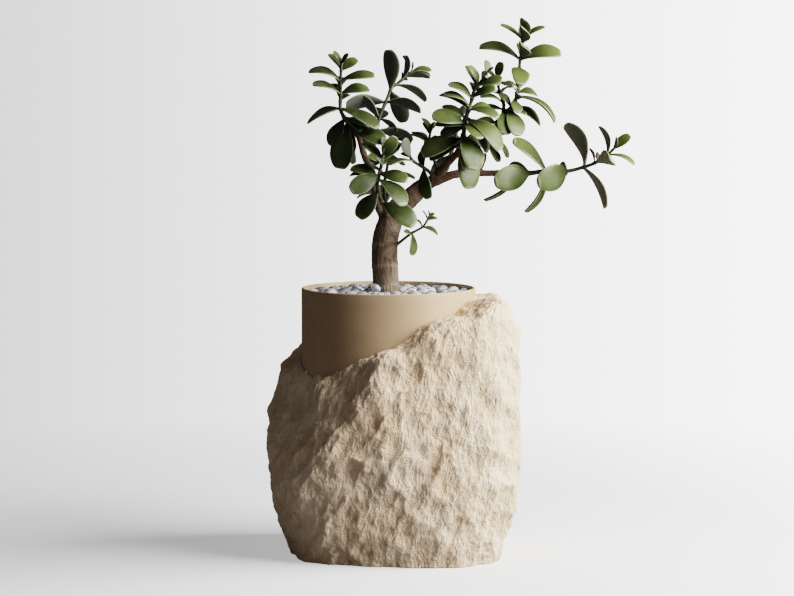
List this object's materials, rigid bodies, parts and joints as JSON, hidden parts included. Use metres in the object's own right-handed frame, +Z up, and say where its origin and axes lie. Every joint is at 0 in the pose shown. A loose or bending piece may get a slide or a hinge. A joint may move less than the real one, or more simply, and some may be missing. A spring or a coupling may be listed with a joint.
{
  "type": "potted jade plant in a stone block",
  "caption": "Small tree-shaped jade plant with thick oval leaves, in a thin tan pot with pebbles, seated in a rough sandstone block.",
  "frame": {"origin": "on the surface that the stone stands on, under the middle of the pot", "axes": "+Z up out of the pot, +X to the right as seen from the front, towards the long low branch, +Y to the back"},
  "size_m": [0.3858, 0.2365, 0.553],
  "materials": {
    "stone": "matte",
    "pot": "matte",
    "soil": "matte",
    "pebbles": "satin",
    "wood": "matte",
    "leaf": "satin"
  },
  "bodies": {
    "root": {"stone": "stone", "pot": "pot", "soil": "soil", "pebbles": "pebbles", "trunk": "wood", "stem_left": "leaf", "stem_middle": "leaf", "stem_sprig": "leaf", "stem_front": "leaf", "stem_crown": "leaf", "stem_centre": "leaf", "stem_tall": "leaf", "stem_right": "leaf", "stem_low": "leaf", "stem_back_left": "leaf", "stem_back_right": "leaf"}
  },
  "joints": []
}
